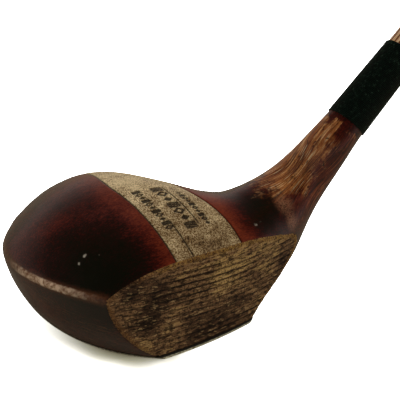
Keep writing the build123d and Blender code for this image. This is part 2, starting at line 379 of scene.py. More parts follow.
# Three rows of stamped ornament: lozenges, dots and slanted hatching, with no letters.
STAMP_ROWS = (
    # middle x, row height, first y, last y, pitch along the row
    (-7.4, 3.4, -13.5, 8.6, 2.0),
    (0.9, 5.0, -15.5, 8.0, 3.4),
    (8.0, 2.6, -15.5, 3.6, 1.9),
)


def stamp_boxes(points, grow):
    """Whether each point lies within a row of stamps, widened by grow millimetres."""
    x, y, z = (points / MM).T
    inside = np.zeros(len(points), bool)
    for middle, height, first, last, _ in STAMP_ROWS:
        near = np.abs(x - middle) < height / 2 + grow
        inside |= near & (y > first - grow) & (y < last + grow)
    return inside & (z > STAMP_LOW)


def stamp_ink(points):
    """How much of a stamped mark lies at each point, 0 to 1."""
    x, y, _ = (points / MM).T
    ink = np.zeros(len(points))
    for row, (middle, height, first, _, pitch) in enumerate(STAMP_ROWS):
        cell = np.floor((y - first) / pitch)
        across = (x - middle) / (height / 2)
        along = ((y - first) / pitch - cell - 0.5) * 2
        lozenge = np.abs(across) + np.abs(along) * 1.1
        hatching = np.abs((along * 1.5 + across * 0.5 + 0.5) % 1 - 0.5) * pitch / 3
        kinds = (
            np.abs(lozenge - 0.8) * height * 0.33,
            np.where(np.abs(along) < 0.85, hatching, FAR),
            np.maximum(lozenge - 0.55, 0) * height * 0.4,
        )
        kind = (cell + row) % 3
        stroke = np.select([kind == 0, kind == 1, kind == 2], kinds)
        width = 0.22 + 0.035 * height
        ink = np.maximum(ink, (1 - smooth_step(stroke, width, width * 1.6)) * (np.abs(across) < 1))
    return ink * stamp_boxes(points, 0)


def score_lines(points, depth_inside):
    """How deep the face's ruled lines run at each point, 0 to 1.

    They wander a little, as if cut by hand, and are worn away in places and at the toe.
    """
    x, _, z = (points / MM).T
    wander = 0.22 * noise_field(points, 18, 3) + 0.08 * noise_field(points, 4, 4)
    height = z + 0.02 * (x - 10) + wander
    line = np.round((height - SCORE_LOW) / SCORE_PITCH)
    off = np.abs(height - SCORE_LOW - line * SCORE_PITCH)
    cut = 1 - smooth_step(off, SCORE_WIDTH * 0.5, SCORE_WIDTH * 1.9)
    cut *= (line >= 0) & (height < SCORE_HIGH + SCORE_PITCH / 2)
    margin = np.where(x < -10, SCORE_TOE_MARGIN, 1.2)
    cut *= smooth_step(depth_inside, margin - 0.4, margin + 0.4)
    fading = 0.55 + 0.45 * smooth_step(noise_field(points, 14, 5, (1, 1, 3)), -0.35, 0.3)
    end_line = 1 - smooth_step(np.abs(depth_inside - SCORE_TOE_MARGIN + 0.3), 0.15, 0.45)
    end_line *= (x < -21) & (z < 24)
    toe_wear = 1 - 0.45 * smooth_step(-x, 12, 24)
    return np.maximum(cut * fading * toe_wear, 0.35 * end_line)


def wood_ripple(points, depth_inside):
    """Raised and sunk grain of the bare face, millimetres."""
    fine = noise_field(points, 0.8, 6, (0.06, 0.06, 1))
    coarse = noise_field(points, 2.4, 7, (0.10, 0.10, 1))
    return (0.05 * fine + 0.05 * coarse) * smooth_step(depth_inside, 0.3, 1.5)


KNOCKS = (
    # x, y, radius and depth of the small knocks in the crown, millimetres
    (-39.0, -8.6, 0.5, 0.13),
    (-36.6, -7.5, 0.6, 0.15),
    (-36.5, -13.0, 0.4, 0.10),
    (-33.0, -10.6, 0.4, 0.10),
    (-14.2, -21.0, 0.5, 0.14),
    (28.0, -19.0, 0.7, 0.15),
    (31.0, -18.0, 0.6, 0.12),
)


def knock_depth(points):
    x, y, z = (points / MM).T
    depth = np.zeros(len(points))
    for cx, cy, radius, deep in KNOCKS:
        dent = np.exp(-((x - cx) ** 2 + (y - cy) ** 2) / radius ** 2)
        depth += deep * dent * (z > KNOCK_LOW)
    return depth


def carve_head(mesh):
    """Cuts lines, marks and knocks into the head, and stores the fields its material reads."""
    points, normals = mesh_arrays(mesh)
    on_face = face_depth(points)
    to_ridge = distances(RIDGE, points)
    crown = (points[:, 2] > CROWN_LOW * MM) & (on_face < 0)

    scores = score_lines(points, on_face) * (on_face > 0)
    border = np.minimum.reduce([np.abs(d) for d in border_lines(points)])
    borders = (1 - smooth_step(border, BORDER_WIDTH * 0.5, BORDER_WIDTH * 2)) * crown
    stamps = stamp_ink(points) * crown
    knocks = knock_depth(points)

    lowered = scores * SCORE_DEPTH + borders * BORDER_DEPTH + stamps * STAMP_DEPTH + knocks
    lowered -= wood_ripple(points, on_face)
    worn = np.exp(-(to_ridge / 2.2) ** 2) * (0.12 + 0.18 * noise_field(points, 5, 8))
    lowered += worn * (points[:, 2] > 10 * MM)
    lowered += 0.03 * noise_field(points, 6, 9) * (points[:, 2] > 4 * MM)
    set_points(mesh, points - normals * (lowered * MM)[:, None])

    along, _ = along_axis(points)
    set_field(mesh, "face_edge", on_face)
    set_field(mesh, "stripe", stripe_depth(points))
    set_field(mesh, "ridge", to_ridge)
    set_field(mesh, "cut", np.clip(scores + borders + stamps, 0, 1))
    set_field(mesh, "knock", np.clip(knocks / 0.12, 0, 1))
    set_field(mesh, "below_binding", (span("neck_whipping")[0] - along) / MM)


def build_head():
    head = plain_head()
    smooth_head(head.data)
    refine_carved(head.data)
    carve_head(head.data)
    free_sockets(head)
    head.data.shade_smooth()
    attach(head, "root")
    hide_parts("head_block")
    return head


def cut_away(piece, bm):
    """Takes the closed shape bm out of the piece."""
    shape = bpy.data.meshes.new("cutter")
    bm.to_mesh(shape)
    bm.free()
    cutter = bpy.data.objects.new("cutter", shape)
    bpy.context.scene.collection.objects.link(cutter)
    cut = piece.modifiers.new("cut", "BOOLEAN")
    cut.operation = "DIFFERENCE"
    cut.solver = "MANIFOLD"
    cut.object = cutter
    apply_modifiers(piece)
    bpy.data.objects.remove(cutter)


def plate_pocket():
    """The sole plate's shape, let run out below and past the head's front and toe."""
    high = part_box("sole_plate")[1]
    bm = as_bmesh("sole_plate")
    for vert in bm.verts:
        if vert.co.z < high.z / 2:
            vert.co.z -= 2 * MM
        if vert.co.y < high.y - 1 * MM and vert.co.x < high.x - 1 * MM:
            outward = Vector((vert.co.x, vert.co.y, 0)).normalized()
            vert.co += outward * POCKET_OPENING * MM
    return bm


def free_sockets(head):
    """Cuts the shaft's socket and the sole plate's pocket."""
    cut_away(head, as_bmesh("shaft"))
    cut_away(head, plate_pocket())


# ---------------------------------------------------------------- wound pieces

def wind(name, start, end, pitch, section, radius_at, steps, wander=0.0):
    """A strip or thread wound round the shaft's axis, with so many mesh steps in one turn.

    section is the closed outline of the strip as (along, outward) offsets in metres.
    """
    count = max(2, round((end - start) / pitch * steps))
    rings = len(section)
    points = []
    for i in range(count + 1):
        turn = 2 * math.pi * i / steps
        outward = math.cos(turn) * ACROSS + math.sin(turn) * UPWARD
        at = start + (end - start) * i / count
        shift = wander * noise.noise(Vector((i * 0.11, start * 900, 0.5)))
        lift = wander * noise.noise(Vector((i * 0.23, start * 900, 7.5)))
        for along, out in section:
            place = at + along + shift
            radius = radius_at(place) + out + lift
            points.append(AXIS_POINT + place * AXIS + radius * outward)
    faces = []
    for i in range(count):
        for j in range(rings):
            k = (j + 1) % rings
            a, b = i * rings, (i + 1) * rings
            faces.append((a + j, a + k, b + k, b + j))
    faces.append(tuple(range(rings))[::-1])
    faces.append(tuple(count * rings + j for j in range(rings)))
    return new_piece(name, points, faces)


def thread_section(half):
    """The thread's outline, round outside and drawn out inwards, as (along, outward) offsets."""
    outline = []
    for k in range(THREAD_SIDES):
        turn = 2 * math.pi * k / THREAD_SIDES
        out = half * math.sin(turn) - half
        if math.sin(turn) < -0.1:
            out -= THREAD_BITE
        outline.append((half * 1.02 * math.cos(turn), out))
    return outline


def wound_thread(name, node):
    """Thread wound side by side over a CAD sleeve's outside."""
    low, high = span(node)
    half = THREAD / 2
    piece = wind(
        name, low + half, high - half, THREAD,
        thread_section(half), outer_radius(node), THREAD_STEPS, THREAD_WANDER,
    )
    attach(piece, "root")
    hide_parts(node)
    return piece


def leather_section():
    """The strip's outline: its near edge lies over the far edge of the turn below."""
    lap, pitch, thick = GRIP_LAP, GRIP_PITCH, LEATHER
    return [
        (pitch + lap * 0.9, -thick * 0.98),
        (pitch + lap * 0.9, -thick * 0.72),
        (pitch + lap * 0.3, -thick * 0.62),
        (pitch, -thick * 0.32),
        (pitch * 0.75, -thick * 0.05),
        (pitch * 0.5, 0.02 * thick),
        (lap, 0.12 * thick),
        (lap * 0.3, 0.16 * thick),
        (0.0, 0.05 * thick),
        (-lap * 0.08, -thick * 0.15),
        (-lap * 0.05, -thick * 0.45),
        (0.3 * lap, -thick * 0.55),
        (0.95 * lap, -thick * 0.7),
        (lap, -thick),
    ]


def build_grip():
    """One leather strip wound up the grip, each turn lapping over the one below."""
    low, high = span("grip_leather")
    piece = wind(
        "leather_strip", low - GRIP_PITCH, high, GRIP_PITCH,
        leather_section(), outer_radius("grip_leather"), GRIP_STEPS,
    )
    trim(piece, low, high)
    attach(piece, "root")
    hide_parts("grip_leather")
    return piece


def trim(piece, low, high):
    """Cuts a wound piece square at both ends and closes the cuts."""
    bm = bmesh.new()
    bm.from_mesh(piece.data)
    for at, normal in ((low, -AXIS), (high, AXIS)):
        cut = bmesh.ops.bisect_plane(
            bm,
            geom=bm.verts[:] + bm.edges[:] + bm.faces[:],
            plane_co=AXIS_POINT + at * AXIS,
            plane_no=normal,
            clear_outer=True,
        )
        rim = [g for g in cut["geom_cut"] if isinstance(g, bmesh.types.BMEdge)]
        bmesh.ops.edgenet_fill(bm, edges=rim)
    bmesh.ops.dissolve_degenerate(bm, dist=SLIVER, edges=bm.edges)
    bmesh.ops.recalc_face_normals(bm, faces=bm.faces)
    bm.to_mesh(piece.data)
    bm.free()
    piece.data.shade_smooth()


# ---------------------------------------------------------------- materials

SPOT_CORE = 0.15           # share of a spot's radius within which it is full
METAL_SHARE = 0.7          # old metal, dulled by its tarnish
PLATE_BRIGHT = 0.8         # millimetres of bright metal at the foot of the plate's edge
PEBBLES_PER_METRE = 900.0
WEAVE_SCALE = 400.0


def tint(red, green, blue):
    """A colour given as it looks on a screen, 0 to 255, turned into light amounts."""
    def light(value):
        value /= 255
        return value / 12.92 if value < 0.04045 else ((value + 0.055) / 1.055) ** 2.4
    return light(red), light(green), light(blue), 1.0


class Finish:
    """One procedural material, built node by node."""

    def __init__(self, name):
        self.material = bpy.data.materials.new(name)
        self.material.use_nodes = True
        self.tree = self.material.node_tree
        self.surface = self.tree.nodes["Principled BSDF"]
        self.place = self.node("ShaderNodeTexCoord").outputs["Object"]

    def node(self, kind, inputs=None, **settings):
        made = self.tree.nodes.new(kind)
        for key, value in settings.items():
            setattr(made, key, value)
        for socket, value in (inputs or {}).items():
            self.feed(made.inputs[socket], value)
        return made

    def feed(self, socket, value):
        if isinstance(value, bpy.types.NodeSocket):
            self.tree.links.new(value, socket)
        else:
            socket.default_value = value

    def field(self, name):
        return self.node("ShaderNodeAttribute", attribute_name=name).outputs["Fac"]

    def math(self, operation, first, second=0.0, clamp=False):
        inputs = {0: first, 1: second}
        made = self.node("ShaderNodeMath", inputs, operation=operation, use_clamp=clamp)
        return made.outputs[0]

    def rest_of(self, share, clamp=False):
        """What a share leaves of 1."""
        return self.math("SUBTRACT", 1.0, share, clamp)

    def times(self, first, *others):
        for other in others:
            first = self.math("MULTIPLY", first, other)
        return first

    def plus(self, first, *others):
        for other in others:
            first = self.math("ADD", first, other)
        return first

    def step(self, value, low, high):
        """0 below low, 1 above high and smooth between; the other way round if low > high."""
        inputs = {"Value": value, "From Min": low, "From Max": high}
        made = self.node("ShaderNodeMapRange", inputs, interpolation_type="SMOOTHSTEP")
        return made.outputs["Result"]

    def axes(self):
        return self.node("ShaderNodeSeparateXYZ", {0: self.place}).outputs

    def turned(self, angle_y, scale):
        """The place turned about the Y axis, then stretched."""
        spun = self.spun(self.place, angle_y)
        return self.node("ShaderNodeMapping", {"Vector": spun, "Scale": scale}).outputs[0]

    def spun(self, vector, angle_y):
        inputs = {"Vector": vector, "Rotation": (0, -angle_y, 0)}
        return self.node("ShaderNodeMapping", inputs).outputs[0]

    def unrolled(self, along_scale):
        """The place unrolled about the shaft's axis: how far round, then how far along."""
        inputs = {0: self.place, 1: tuple(AXIS_POINT)}
        offset = self.node("ShaderNodeVectorMath", inputs, operation="SUBTRACT").outputs[0]
        parts = self.node("ShaderNodeSeparateXYZ", {0: self.spun(offset, SHAFT_TILT)}).outputs
        angle = self.math("ARCTAN2", parts[1], self.times(parts[0], -1.0))
        inputs = {0: self.times(angle, UNROLL_RADIUS * MM), 2: self.times(parts[2], along_scale)}
        return self.node("ShaderNodeCombineXYZ", inputs).outputs[0]

    def noise(self, blob_mm, stretch=(1, 1, 1), detail=3.0, rough=0.6, where=None, bend=0.0):
        """Noise in about 0.2..0.8 with blobs of the given size."""
        mapped = self.node("ShaderNodeMapping", {"Vector": where or self.place, "Scale": stretch})
        inputs = {
            "Vector": mapped.outputs[0], "Scale": 1 / (blob_mm * MM),
            "Detail": detail, "Roughness": rough, "Distortion": bend,
        }
        return self.node("ShaderNodeTexNoise", inputs).outputs["Fac"]

    def mix(self, share, below, above):
        inputs = {0: share, 6: below, 7: above}
        return self.node("ShaderNodeMix", inputs, data_type="RGBA").outputs[2]

    def ramp(self, value, *stops):
        made = self.node("ShaderNodeValToRGB", {0: value})
        elements = made.color_ramp.elements
        while len(elements) < len(stops):
            elements.new(0.5)
        for element, (position, colour) in zip(elements, stops):
            element.position = position
            element.color = colour
        return made.outputs[0]

    def bump(self, height, depth_mm):
        inputs = {"Height": height, "Distance": depth_mm * MM}
        return self.node("ShaderNodeBump", inputs).outputs[0]

    def finish(self, colour, rough, normal, **others):
        """Connects the surface; other inputs are named with _ for a space."""
        self.feed(self.surface.inputs["Base Color"], colour)
        self.feed(self.surface.inputs["Roughness"], rough)
        self.feed(self.surface.inputs["Normal"], normal)
        for key, value in others.items():
            self.feed(self.surface.inputs[key.replace("_", " ")], value)
        return self.material


def spot(f, x, y, z, radius_mm):
    """1 at a place on the club, fading to 0 at the radius."""
    centre = (x * MM, y * MM, z * MM)
    away = f.node("ShaderNodeVectorMath", {0: f.place, 1: centre}, operation="DISTANCE")
    return f.step(away.outputs["Value"], radius_mm * MM, radius_mm * SPOT_CORE * MM)


def varnish_colour(f):
    """Dark red-brown stain, blacker in the toe's middle and redder beside the stripe."""
    clouds = f.noise(16, detail=4)
    grain = f.noise(1.2, (0.10, 1, 1), detail=3, bend=0.4)
    flecks = f.step(f.noise(0.5, (0.4, 1, 1), detail=2, rough=0.8), 0.35, 0.70)
    beside = f.step(f.field("stripe"), -14.0, -0.5)
    toe_dark = spot(f, -33, -14, 30, 26)
    red_by_stripe = spot(f, 22, -8, 36, 12)
    dark_bend = spot(f, 34, -12, 36, 17)
    amount = f.plus(f.times(clouds, 0.6), f.times(grain, 0.3), f.times(flecks, 0.26))
    amount = f.plus(amount, f.times(beside, 0.30), f.times(toe_dark, -0.40), -0.10)
    amount = f.plus(amount, f.times(red_by_stripe, 0.16), f.times(dark_bend, -0.25))
    return f.ramp(
        amount,
        (0.08, tint(14, 14, 4)),
        (0.34, tint(34, 11, 6)),
        (0.56, tint(74, 20, 11)),
        (0.90, tint(126, 50, 26)),
    )


def bare_face_colour(f):
    """Worn bare wood: brown and gold in patches, broken up by short dark dashes and pale flecks."""
    streaks = f.noise(0.9, (0.06, 0.3, 1), detail=3, rough=0.7)
    clouds = f.noise(6, (0.6, 1, 1.3), detail=4)
    gold = f.plus(
        spot(f, 12, -27, 30, 20), f.times(spot(f, 35, -26, 28, 16), 0.8),
        spot(f, -26, -28, 25, 6), spot(f, -25, -30, 8, 8),
        f.times(spot(f, 8, -29, 23, 8), 0.7),
    )
    dark = f.plus(
        spot(f, -21, -29, 22, 11), f.times(spot(f, -23, -29, 15, 9), 0.9),
        f.times(spot(f, 46, -26, 18, 14), 0.7), f.times(spot(f, 8, -31, 4, 22), 0.7),
    )
    amount = f.plus(f.times(streaks, 0.7), f.times(clouds, 0.8), -0.22)
    dark_corner = spot(f, -29, -26, 29, 7)
    amount = f.plus(amount, f.times(gold, 0.20), f.times(dark, -0.28), f.times(dark_corner, -0.4))
    wood = f.ramp(
        amount,
        (0.10, tint(24, 16, 10)),
        (0.34, tint(90, 64, 44)),
        (0.56, tint(154, 116, 78)),
        (0.82, tint(216, 174, 108)),
    )
    dashes = f.step(f.noise(0.55, (0.22, 0.4, 1), detail=2, rough=0.8), 0.51, 0.56)
    nicks = f.step(f.noise(0.55, (1, 1, 0.35), detail=2, rough=0.8), 0.54, 0.59)
    pale = f.step(f.noise(0.6, (0.22, 0.4, 1), detail=2), 0.56, 0.66)
    wood = f.mix(f.times(pale, 0.5), wood, tint(228, 188, 130))
    return f.mix(f.math("MAXIMUM", f.times(dashes, 0.85), f.times(nicks, 0.7)), wood, tint(24, 16, 10))


def stripe_colour(f):
    """Olive-gold band, finely speckled, darker towards the face and lighter towards the back, where
    the lightening is mostly a painted sheen.
    """
    speckle = f.step(f.noise(0.38, (1, 0.6, 1), detail=1), 0.36, 0.62)
    clouds = f.noise(5, detail=4)
    front = f.step(f.axes()[1], 4 * MM, -22 * MM)
    # painted sheen: the band grows lighter towards its back
    back = f.step(f.axes()[1], 2 * MM, 20 * MM)
    amount = f.plus(f.times(speckle, 0.36), f.times(clouds, 0.75), f.times(front, -0.13), 0.02)
    amount = f.plus(amount, f.times(back, 0.12))
    return f.ramp(
        amount,
        (0.14, tint(44, 28, 15)),
        (0.46, tint(138, 108, 70)),
        (0.82, tint(236, 210, 158)),
    )


def neck_colour(f):
    """Golden wood and redder wood, both with thin dark and pale lines along the neck; the golden wood
    also gets pale glints, which are painted highlights.
    """
    lines = f.noise(0.6, detail=3, rough=0.75, where=f.unrolled(0.04))
    broad = f.noise(2.6, detail=3, where=f.unrolled(0.12))
    flecks = f.noise(0.5, detail=2, rough=0.8)
    amount = f.plus(f.times(lines, 1.05), f.times(broad, 0.75), f.times(flecks, 0.30), -0.54)
    golden = f.ramp(
        amount,
        (0.26, tint(52, 20, 9)),
        (0.44, tint(130, 70, 34)),
        (0.60, tint(184, 118, 62)),
        (0.80, tint(246, 204, 146)),
    )
    red = f.ramp(
        amount,
        (0.30, tint(30, 7, 4)),
        (0.54, tint(92, 30, 17)),
        (0.78, tint(176, 98, 54)),
    )
    pores = f.step(f.noise(0.5, detail=2, where=f.unrolled(0.03)), 0.545, 0.58)
    pits = f.step(f.noise(1.2, detail=1, where=f.unrolled(0.45)), 0.64, 0.69)
    # painted highlights: pale glints along the grain, laid on the golden wood
    glints = f.step(f.noise(0.5, detail=1, where=f.unrolled(0.05)), 0.60, 0.68)
    marks = f.math("MAXIMUM", f.times(pores, 0.75), f.times(pits, 0.85))
    golden = f.mix(f.times(glints, 0.55), golden, tint(250, 222, 172))
    dark = tint(34, 12, 6)
    return f.mix(marks, golden, dark), f.mix(marks, red, dark)


def neck_wood(f, colour, uneven):
    """Bare wood seen from below the binding down to the bend, over the given colour, with a painted
    highlight where the neck bends down.
    """
    below = f.field("below_binding")
    patchy = f.plus(f.noise(5, detail=3), -0.5)
    stained_end = f.step(f.plus(below, f.times(patchy, 20), f.times(uneven, 1.5)), 2.5, 5.0)
    bend = f.step(f.plus(below, f.times(uneven, 7), f.times(patchy, 20)), 44, 34)
    golden, red = neck_colour(f)
    across_mm = f.times(f.axes()[1], 1 / MM)
    front_side = f.plus(across_mm, f.times(uneven, 3), f.times(patchy, 12))
    wood = f.mix(f.step(front_side, -14.5, -10.0), red, golden)
    colour = f.mix(f.times(bend, stained_end), colour, wood)
    # painted highlight: two soft pale spots on the bend above the face's heel corner
    wear_and_highlight = f.plus(spot(f, 47.5, -14, 37.4, 6), spot(f, 48.5, -19, 32.5, 5))
    wear_and_highlight = f.times(wear_and_highlight, f.step(f.noise(0.6, detail=3, rough=0.8), 0.34, 0.62), 0.55)
    return f.mix(f.math("MINIMUM", wear_and_highlight, 0.6), colour, tint(190, 132, 94))


def ridge_wear_and_highlight(f, colour, ragged, uneven):
    """Wear along the crease between crown and skirt, palest at the toe, where the pale core is partly
    wear and partly a painted highlight; also the core's share.
    """
    ridge = f.field("ridge")
    toe_side = f.plus(f.times(f.step(f.axes()[0], -12 * MM, -28 * MM), 0.8), 0.2)
    halo = f.times(f.step(f.plus(ridge, f.times(uneven, 1.5)), 3.0, 1.0), toe_side, 0.8)
    halo_colour = f.ramp(ragged, (0.35, tint(46, 22, 12)), (0.65, tint(112, 66, 38)))
    colour = f.mix(halo, colour, halo_colour)
    near = f.step(f.plus(ridge, f.times(uneven, 0.35)), 1.7, 0.9)
    # pale core by the toe: worn wood with a painted highlight on the rounded crease
    wear_and_highlight = f.times(near, spot(f, -48, -4, 20, 23))
    patches = f.noise(2.0, detail=2)
    pale = f.ramp(patches, (0.36, tint(124, 82, 52)), (0.62, tint(236, 202, 168)))
    return f.mix(wear_and_highlight, colour, pale), wear_and_highlight


def skirt_streaks_and_reflection(f, colour):
    """Fine level streaks in the stain of the skirt, lighter low on the toe side, where they are partly
    a painted reflection of the floor.
    """
    x, _, z = f.axes()
    skirt = f.times(f.step(z, 20 * MM, 14 * MM), f.step(x, 10 * MM, -20 * MM))
    streak = f.step(f.noise(0.5, (0.10, 0.10, 1), detail=2, rough=0.8), 0.52, 0.66)
    # lighter streaks low on the toe's skirt: stain streaks and painted floor reflection
    return f.mix(f.times(skirt, streak, 0.6), colour, tint(104, 62, 30))


def bordered_face(f, uneven):
    """The bare face with its worn, speckled border and its dark lowest edge."""
    x, _, z = f.axes()
    bare = bare_face_colour(f)
    near_edge = f.step(f.plus(f.field("face_edge"), f.times(uneven, 1.5)), 2.0, 0.6)
    border = f.times(near_edge, f.step(z, 4 * MM, 7 * MM))
    border = f.times(border, f.rest_of(spot(f, -31, -26, 28, 9)))
    toe_border = f.step(x, -18 * MM, -24 * MM)
    speckle = f.step(f.noise(0.6, detail=3, rough=0.8), 0.58, 0.44)
    border_colour = f.mix(toe_border, tint(186, 140, 70), tint(150, 106, 60))
    border_colour = f.mix(speckle, border_colour, tint(62, 34, 18))
    bare = f.mix(f.times(border, 0.7), bare, border_colour)
    return f.mix(f.step(z, 2.4 * MM, 1.8 * MM), bare, tint(18, 13, 9))


def head_finish():
    """Varnished stain, with neck, stripe, ridge, skirt, face and marks laid over it in turn."""
    f = Finish("stained_wood")
    ragged = f.noise(1.6, detail=4, rough=0.7)
    uneven = f.times(f.plus(ragged, -0.5), 2.4)

    colour = neck_wood(f, varnish_colour(f), uneven)
    band = f.step(f.field("stripe"), -0.12, 0.12)
    colour = f.mix(band, colour, stripe_colour(f))
    colour, wear_and_highlight = ridge_wear_and_highlight(f, colour, ragged, uneven)
    colour = skirt_streaks_and_reflection(f, colour)
    on_face = f.step(f.plus(f.field("face_edge"), f.times(uneven, 0.25)), -0.35, 0.1)
    colour = f.mix(on_face, colour, bordered_face(f, uneven))
    colour = f.mix(f.times(f.field("cut"), 0.9), colour, tint(16, 12, 8))
    knocked = f.step(f.field("knock"), 0.3, 0.9)
    colour = f.mix(f.times(knocked, 0.8), colour, tint(190, 180, 160))

    gloss_loss = f.plus(f.times(on_face, 0.9), f.times(band, 0.25), f.times(wear_and_highlight, 0.2))
    coat = f.rest_of(gloss_loss, clamp=True)
    smear = f.noise(6, detail=5, rough=0.7)
    rough = f.plus(f.times(on_face, 0.25), f.times(smear, 0.3), 0.32)
    fine = f.noise(0.35, detail=3, rough=0.7)
    normal = f.bump(f.plus(fine, f.times(ragged, 0.6)), 0.03)
    return f.finish(
        colour, rough, normal,
        Coat_Weight=f.times(coat, 0.8),
        Coat_Roughness=f.plus(f.times(smear, 0.25), 0.08),
        Specular_IOR_Level=0.12,
    )


def thread_finish():
    """Near-black green thread with pale specks that are painted glints."""
    f = Finish("waxed_thread")
    twist = f.noise(0.35, detail=3, rough=0.8)
    glint_speckle = f.noise(1.3, detail=4, rough=0.8)
    # the pale top of this ramp is painted highlights: glints on the thread
    colour = f.ramp(
        f.plus(f.times(twist, 0.6), f.times(glint_speckle, 0.5), -0.05),
        (0.45, tint(3, 11, 7)),
        (0.58, tint(8, 28, 19)),
        (0.68, tint(96, 120, 100)),
    )
    rough = f.plus(f.times(glint_speckle, 0.4), 0.4)
    return f.finish(colour, rough, f.bump(twist, 0.06), Specular_IOR_Level=0.2)


def shaft_finish():
    """Varnished hickory with long dark and pale lines."""
    f = Finish("shaft_wood")
    lengthwise = f.turned(SHAFT_TILT, (1, 1, 0.018))
    lines = f.step(f.noise(1.0, detail=2, rough=0.65, where=lengthwise, bend=0.2), 0.34, 0.66)
    pores = f.noise(0.4, detail=2, rough=0.7, where=f.turned(SHAFT_TILT, (1, 1, 0.03)))
    clouds = f.noise(22, detail=3, where=f.turned(SHAFT_TILT, (1, 1, 0.2)))
    amount = f.plus(f.times(lines, 0.75), f.times(pores, 0.5), f.times(clouds, 0.2), -0.22)
    colour = f.ramp(
        amount,
        (0.12, tint(66, 28, 14)),
        (0.40, tint(144, 84, 44)),
        (0.62, tint(200, 140, 84)),
        (0.88, tint(246, 212, 168)),
    )
    rough = f.plus(f.times(pores, 0.3), 0.28)
    normal = f.bump(f.plus(lines, pores), 0.05)
    return f.finish(colour, rough, normal, Coat_Weight=0.5, Coat_Roughness=0.25)


def hide_finish():
    """Dark brown leather, pebbled, and paler where hands have worn it."""
    f = Finish("grip_hide")
    cells = {"Vector": f.place, "Scale": PEBBLES_PER_METRE}
    pebble = f.node("ShaderNodeTexVoronoi", cells).outputs["Distance"]
    wear = f.noise(14, detail=5, rough=0.7)
    fine = f.noise(0.5, detail=3)
    colour = f.ramp(
        f.plus(f.times(wear, 0.8), f.times(pebble, 0.25)),
        (0.30, tint(26, 17, 12)),
        (0.55, tint(62, 38, 24)),
        (0.80, tint(112, 74, 46)),
    )
    rough = f.plus(f.times(wear, 0.35), 0.38)
    return f.finish(colour, rough, f.bump(f.plus(pebble, f.times(fine, 0.5)), 0.12))


def aged_metal(f, dark, body, bright):
    """Colour, roughness and relief of scratched and tarnished metal."""
    scratches = f.noise(0.25, (0.08, 1, 1), detail=3, rough=0.8)
    tarnish = f.noise(5, detail=6, rough=0.75)
    amount = f.plus(f.times(tarnish, 0.75), f.times(scratches, 0.3))
    colour = f.ramp(amount, (0.34, dark), (0.52, body), (0.75, bright))
    rough = f.plus(f.times(tarnish, 0.4), 0.18)
    return colour, rough, f.bump(f.plus(scratches, tarnish), 0.04)


def metal_finish(name, tones):
    f = Finish(name)
    return f.finish(*aged_metal(f, *tones), Metallic=METAL_SHARE)


def plate_finish(tones):
    """The sole plate: metal underneath; its edge is bright below and black above."""
    f = Finish("plate_brass")
    colour, rough, normal = aged_metal(f, *tones)
    facing = f.node("ShaderNodeNewGeometry").outputs["Normal"]
    downward = f.node("ShaderNodeSeparateXYZ", {0: facing}).outputs[2]
    on_side = f.step(downward, -0.95, -0.90)
    uneven = f.times(f.plus(f.noise(0.9, detail=3), -0.5), 0.5 * MM)
    height = f.plus(f.axes()[2], uneven)
    # the edge is near-black above its bright foot
    dark_above = f.step(height, PLATE_BRIGHT * MM, (PLATE_BRIGHT + 0.18) * MM)
    wear = f.noise(0.7, detail=3, rough=0.8)
    wear_and_highlight = f.ramp(wear, (0.4, tint(126, 116, 76)), (0.6, tint(250, 246, 214)))
    colour = f.mix(on_side, colour, f.mix(dark_above, wear_and_highlight, tint(16, 12, 8)))
    rough = f.plus(f.times(on_side, 0.2), rough)
    return f.finish(colour, rough, normal, Metallic=f.times(f.rest_of(on_side), METAL_SHARE))


def cloth_finish():
    """Undyed woven listing, stained with age."""
    f = Finish("underlay_cloth")
    threads = {"Vector": f.spun(f.place, SHAFT_TILT), "Scale": WEAVE_SCALE, "Distortion": 2.0}
    weave = f.node("ShaderNodeTexWave", threads, bands_direction="Z").outputs["Fac"]
    stain = f.noise(6, detail=4)
    colour = f.ramp(
        f.plus(f.times(weave, 0.4), f.times(stain, 0.6)),
        (0.3, tint(96, 84, 66)),
        (0.8, tint(168, 152, 124)),
    )
    return f.finish(colour, 0.9, f.bump(weave, 0.15))


def paint(piece, material):
    piece.data.materials.clear()
    piece.data.materials.append(material)


# ---------------------------------------------------------------- club

BRASS = (tint(58, 44, 22), tint(150, 122, 66), tint(224, 202, 140))
STEEL = (tint(52, 46, 42), tint(120, 116, 110), tint(196, 194, 190))
LEAD = (tint(60, 60, 62), tint(98, 98, 102), tint(150, 150, 154))
BINDINGS = {
    "neck_thread": "neck_whipping",
    "grip_low_thread": "grip_low_binding",
    "grip_high_thread": "grip_high_binding",
}

paint(build_head(), head_finish())
thread, hide = thread_finish(), hide_finish()
for binding, sleeve in BINDINGS.items():
    paint(wound_thread(binding, sleeve), thread)
paint(build_grip(), hide)

kept_finishes = {
    "butt_disc": hide,
    "shaft": shaft_finish(),
    "grip_underlay": cloth_finish(),
    "sole_plate": plate_finish(BRASS),
    "sole_screws": metal_finish("screw_brass", BRASS),
    "slug_screw": metal_finish("screw_steel", STEEL),
    "lead_slug": metal_finish("lead", LEAD),
    "grip_tacks": metal_finish("tack_steel", STEEL),
    "butt_tack": metal_finish("tack_brass", BRASS),
}
for node, finish in kept_finishes.items():
    paint(frame["nodes"][node], finish)


# ---------------------------------------------------------------- studio

